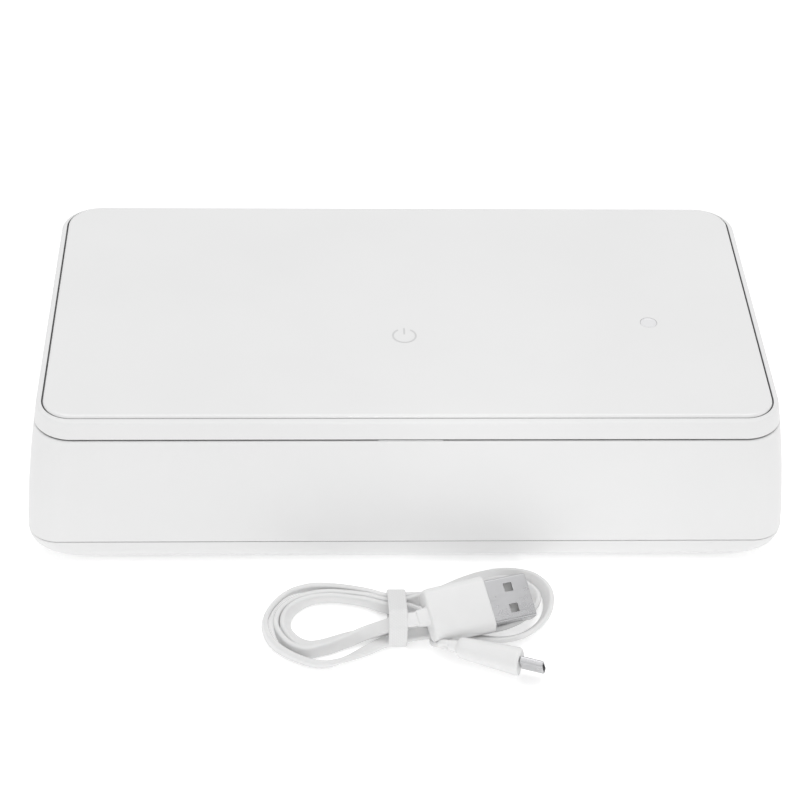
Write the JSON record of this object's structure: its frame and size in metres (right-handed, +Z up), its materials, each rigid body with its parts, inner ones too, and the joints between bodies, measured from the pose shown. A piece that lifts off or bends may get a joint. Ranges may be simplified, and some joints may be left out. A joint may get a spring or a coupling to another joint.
{
  "type": "uv sterilizing box",
  "caption": "Low white tabletop UV-C sterilizing box with a hinged lid, inset touch top plate, bright chamber and tool rack, with its USB lead tied in a hank.",
  "frame": {"origin": "on the ground, under the middle of the box (the free USB lead lies in front of it)", "axes": "+X to the right along the box's long side, +Y to the back where the hinge is, +Z up"},
  "size_m": [0.206, 0.1599, 0.0468],
  "materials": {
    "housing": "white ABS, smooth with a soft gloss",
    "cover": "white ABS, fine texture",
    "chamber_metal": "bright-plated liner and reflector",
    "steel": "stainless steel, satin",
    "plug_metal": "nickel-plated sheet steel",
    "magnet": "nickel-plated magnet",
    "board": "green solder mask on glass-fibre board",
    "black_plastic": "black moulded plastic",
    "lens": "milky clear plastic",
    "led": "ceramic LED package with a phosphor-free window",
    "seal": "grey silicone",
    "foot": "pale rubber",
    "cable_jacket": "white soft PVC",
    "tie": "white soft strap"
  },
  "bodies": {
    "base": {"base_shell": "housing", "bottom_cover": "cover", "chamber_tub": "chamber_metal", "tool_rack": "steel", "bottom_screw_1": "steel", "bottom_screw_2": "steel", "bottom_screw_3": "steel", "bottom_screw_4": "steel", "hinge_pin_left": "steel", "hinge_pin_right": "steel", "control_board": "board", "interlock_board": "board", "driver_chip": "black_plastic", "power_inductor": "black_plastic", "usb_socket_tongue": "black_plastic", "hall_sensor": "black_plastic", "usb_socket_shell": "plug_metal", "usb_a_shell": "plug_metal", "micro_usb_shell": "plug_metal", "base_magnet_left": "magnet", "base_magnet_right": "magnet", "foot_1": "foot", "foot_2": "foot", "foot_3": "foot", "foot_4": "foot", "usb_cable_hank": "cable_jacket", "usb_a_overmold": "cable_jacket", "usb_a_insert": "cable_jacket", "micro_usb_overmold": "cable_jacket", "cable_tie": "tie"},
    "lid": {"lid_frame": "housing", "top_plate": "housing", "touch_board": "board", "indicator_board": "board", "uvc_board_front": "board", "uvc_board_rear": "board", "indicator_lens": "lens", "lid_inner_panel": "chamber_metal", "uvc_led_1": "led", "uvc_led_2": "led", "uvc_led_3": "led", "uvc_led_4": "led", "uvc_led_5": "led", "uvc_led_6": "led", "uvc_led_7": "led", "uvc_led_8": "led", "light_seal": "seal", "lid_screw_1": "steel", "lid_screw_2": "steel", "lid_screw_3": "steel", "lid_screw_4": "steel", "lid_magnet_left": "magnet", "lid_magnet_right": "magnet", "interlock_magnet": "magnet"}
  },
  "joints": [
    {"name": "lid_hinge", "type": "hinge", "parent": "base", "child": "lid", "pos_m": [0, 0.0534, 0.0406], "axis": [-1, 0, 0], "range_deg": [0, 100]}
  ]
}
